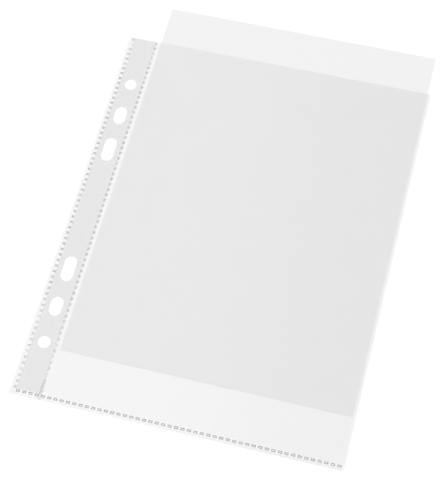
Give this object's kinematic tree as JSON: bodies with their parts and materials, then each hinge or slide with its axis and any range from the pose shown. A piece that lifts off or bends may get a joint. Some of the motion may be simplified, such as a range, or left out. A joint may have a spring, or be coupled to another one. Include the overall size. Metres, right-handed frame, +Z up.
{
  "type": "punched document pocket",
  "caption": "Clear film document pocket for an A5 sheet, with a punched and reinforced binding edge, dotted welds and a folded edge, holding a sheet that slides out of the open end.",
  "frame": {"origin": "middle of the pocket's flat underside, halfway between the binding edge and the folded edge and halfway between the closed bottom and the open mouth", "axes": "+X from the punched binding edge to the folded edge, +Y from the closed bottom to the open mouth, +Z up from the surface that the pocket lies on"},
  "size_m": [0.1678, 0.2375, 0.0007],
  "materials": {
    "clear_film": "satin",
    "frosted_tape": "satin",
    "paper": "matte"
  },
  "bodies": {
    "pocket": {"rear_film": "clear_film", "folded_edge": "clear_film", "front_film": "clear_film", "punched_margin": "clear_film", "bottom_hem": "clear_film", "binding_tape": "frosted_tape"},
    "sheet": {"paper_sheet": "paper"}
  },
  "joints": [
    {"name": "sheet_slide", "type": "slide", "parent": "pocket", "child": "sheet", "axis": [0, 1, 0], "range_m": [-0.0236, 0.188]}
  ]
}
